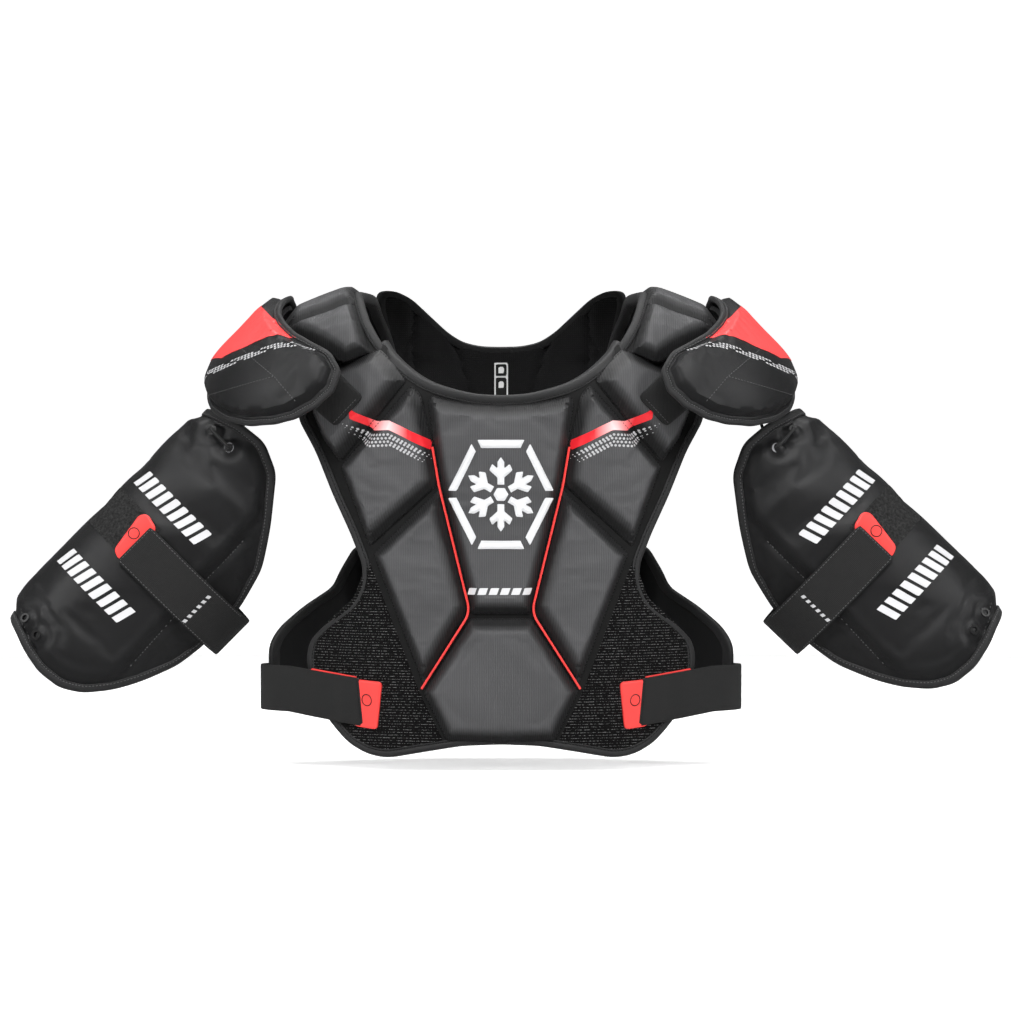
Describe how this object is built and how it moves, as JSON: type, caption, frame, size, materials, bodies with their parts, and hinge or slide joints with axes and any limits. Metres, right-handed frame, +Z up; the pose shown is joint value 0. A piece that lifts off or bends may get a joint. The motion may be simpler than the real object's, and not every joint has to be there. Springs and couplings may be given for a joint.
{
  "type": "hockey shoulder pads",
  "caption": "Shoulder pads with a block foam front panel, back panel, shoulder caps and laced upper arm guards, closed by elastic straps.",
  "frame": {"origin": "base of the wearer's neck, midway between the two yokes", "axes": "+Z up, -Y the way the wearer faces, +X the wearer's left, shown on the right from the front"},
  "size_m": [0.8917, 0.2558, 0.422],
  "materials": {
    "pad_fabric": "ribbed coated nylon",
    "shell_fabric": "smooth coated nylon",
    "lining": "brushed lining",
    "binding": "woven tape",
    "loop_fabric": "fuzzy loop",
    "elastic": "woven elastic",
    "cord": "round cord",
    "red_trim": "soft matt",
    "hard_plastic": "moulded polyethylene",
    "eyelet_metal": "black enamel",
    "label": "satin tape",
    "badge": "raised silicone"
  },
  "bodies": {
    "vest": {"back_centre_pad": "pad_fabric", "back_liner": "lining", "left_back_wing": "lining", "left_shoulder_blade_pad": "pad_fabric", "left_yoke_liner": "lining", "left_yoke_pads": "pad_fabric", "neck_binding": "binding", "right_back_wing": "lining", "right_shoulder_blade_pad": "pad_fabric", "right_yoke_liner": "lining", "right_yoke_pads": "pad_fabric", "side_strap_sewn_ends": "elastic", "size_label": "label"},
    "front_panel": {"belly_pad": "pad_fabric", "chest_binding": "binding", "chest_liner": "lining", "emblem_badge": "badge", "left_chest_pad": "pad_fabric", "left_collar_pad": "pad_fabric", "left_loop_wing": "loop_fabric", "left_rib_pad": "pad_fabric", "red_piping": "red_trim", "right_chest_pad": "pad_fabric", "right_collar_pad": "pad_fabric", "right_loop_wing": "loop_fabric", "right_rib_pad": "pad_fabric", "sternum_pad": "pad_fabric", "sternum_plate": "hard_plastic"},
    "left_cap": {"left_cap_cover": "shell_fabric", "left_cap_insert": "hard_plastic", "left_cap_liner": "lining"},
    "left_cap_strap": {"left_cap_strap": "elastic"},
    "left_hanger": {"left_hanger": "elastic"},
    "left_guard": {"left_arm_strap_sewn_end": "elastic", "left_guard_cover": "shell_fabric", "left_guard_eyelets": "eyelet_metal", "left_guard_insert": "hard_plastic", "left_guard_lace": "cord", "left_guard_liner": "lining", "left_loop_patch": "loop_fabric"},
    "left_arm_strap": {"left_arm_strap": "elastic", "left_arm_strap_tab": "red_trim"},
    "left_side_strap": {"left_side_strap": "elastic", "left_side_strap_tab": "red_trim"},
    "right_cap": {"right_cap_cover": "shell_fabric", "right_cap_insert": "hard_plastic", "right_cap_liner": "lining"},
    "right_cap_strap": {"right_cap_strap": "elastic"},
    "right_hanger": {"right_hanger": "elastic"},
    "right_guard": {"right_arm_strap_sewn_end": "elastic", "right_guard_cover": "shell_fabric", "right_guard_eyelets": "eyelet_metal", "right_guard_insert": "hard_plastic", "right_guard_lace": "cord", "right_guard_liner": "lining", "right_loop_patch": "loop_fabric"},
    "right_arm_strap": {"right_arm_strap": "elastic", "right_arm_strap_tab": "red_trim"},
    "right_side_strap": {"right_side_strap": "elastic", "right_side_strap_tab": "red_trim"}
  },
  "joints": [
    {"name": "front_panel_flex", "type": "hinge", "parent": "vest", "child": "front_panel", "pos_m": [0, -0.088, -0.042], "axis": [1, 0, 0], "range_deg": [0, 8]},
    {"name": "left_cap_lift", "type": "hinge", "parent": "vest", "child": "left_cap", "pos_m": [-0.19, 0, 0], "axis": [0, 1, 0], "range_deg": [0, 30]},
    {"name": "left_cap_strap_peel", "type": "hinge", "parent": "left_cap", "child": "left_cap_strap", "pos_m": [-0.15435, -0.07805, -0.07465], "axis": [-0.5675, 0.5033, -0.6516], "range_deg": [0, 40]},
    {"name": "left_guard_swing", "type": "hinge", "parent": "left_cap", "child": "left_hanger", "pos_m": [-0.23602, -0.02, -0.09286], "axis": [0.7108, 0, -0.7034], "range_deg": [-8, 8]},
    {"name": "left_guard_raise", "type": "hinge", "parent": "left_hanger", "child": "left_guard", "pos_m": [-0.23602, -0.03, -0.09286], "axis": [0, 1, 0], "range_deg": [-6, 5]},
    {"name": "left_arm_strap_peel", "type": "hinge", "parent": "left_guard", "child": "left_arm_strap", "pos_m": [-0.24924, -0.02649, -0.28841], "axis": [0.7034, 0, 0.7108], "range_deg": [0, 50]},
    {"name": "left_side_strap_peel", "type": "hinge", "parent": "vest", "child": "left_side_strap", "pos_m": [-0.21605, 0.01115, -0.338], "axis": [0, 0, -1], "range_deg": [0, 50]},
    {"name": "right_cap_lift", "type": "hinge", "parent": "vest", "child": "right_cap", "pos_m": [0.19, 0, 0], "axis": [0, -1, 0], "range_deg": [0, 30]},
    {"name": "right_cap_strap_peel", "type": "hinge", "parent": "right_cap", "child": "right_cap_strap", "pos_m": [0.15435, -0.07805, -0.07465], "axis": [-0.5675, -0.5033, 0.6516], "range_deg": [0, 40]},
    {"name": "right_guard_swing", "type": "hinge", "parent": "right_cap", "child": "right_hanger", "pos_m": [0.23863, -0.02, -0.09326], "axis": [0.6921, 0, 0.7218], "range_deg": [-8, 8]},
    {"name": "right_guard_raise", "type": "hinge", "parent": "right_hanger", "child": "right_guard", "pos_m": [0.23863, -0.03, -0.09326], "axis": [0, -1, 0], "range_deg": [-6, 5]},
    {"name": "right_arm_strap_peel", "type": "hinge", "parent": "right_guard", "child": "right_arm_strap", "pos_m": [0.25697, -0.02649, -0.2884], "axis": [0.7218, 0, -0.6921], "range_deg": [0, 50]},
    {"name": "right_side_strap_peel", "type": "hinge", "parent": "vest", "child": "right_side_strap", "pos_m": [0.21605, 0.01115, -0.338], "axis": [0, 0, 1], "range_deg": [0, 50]}
  ]
}
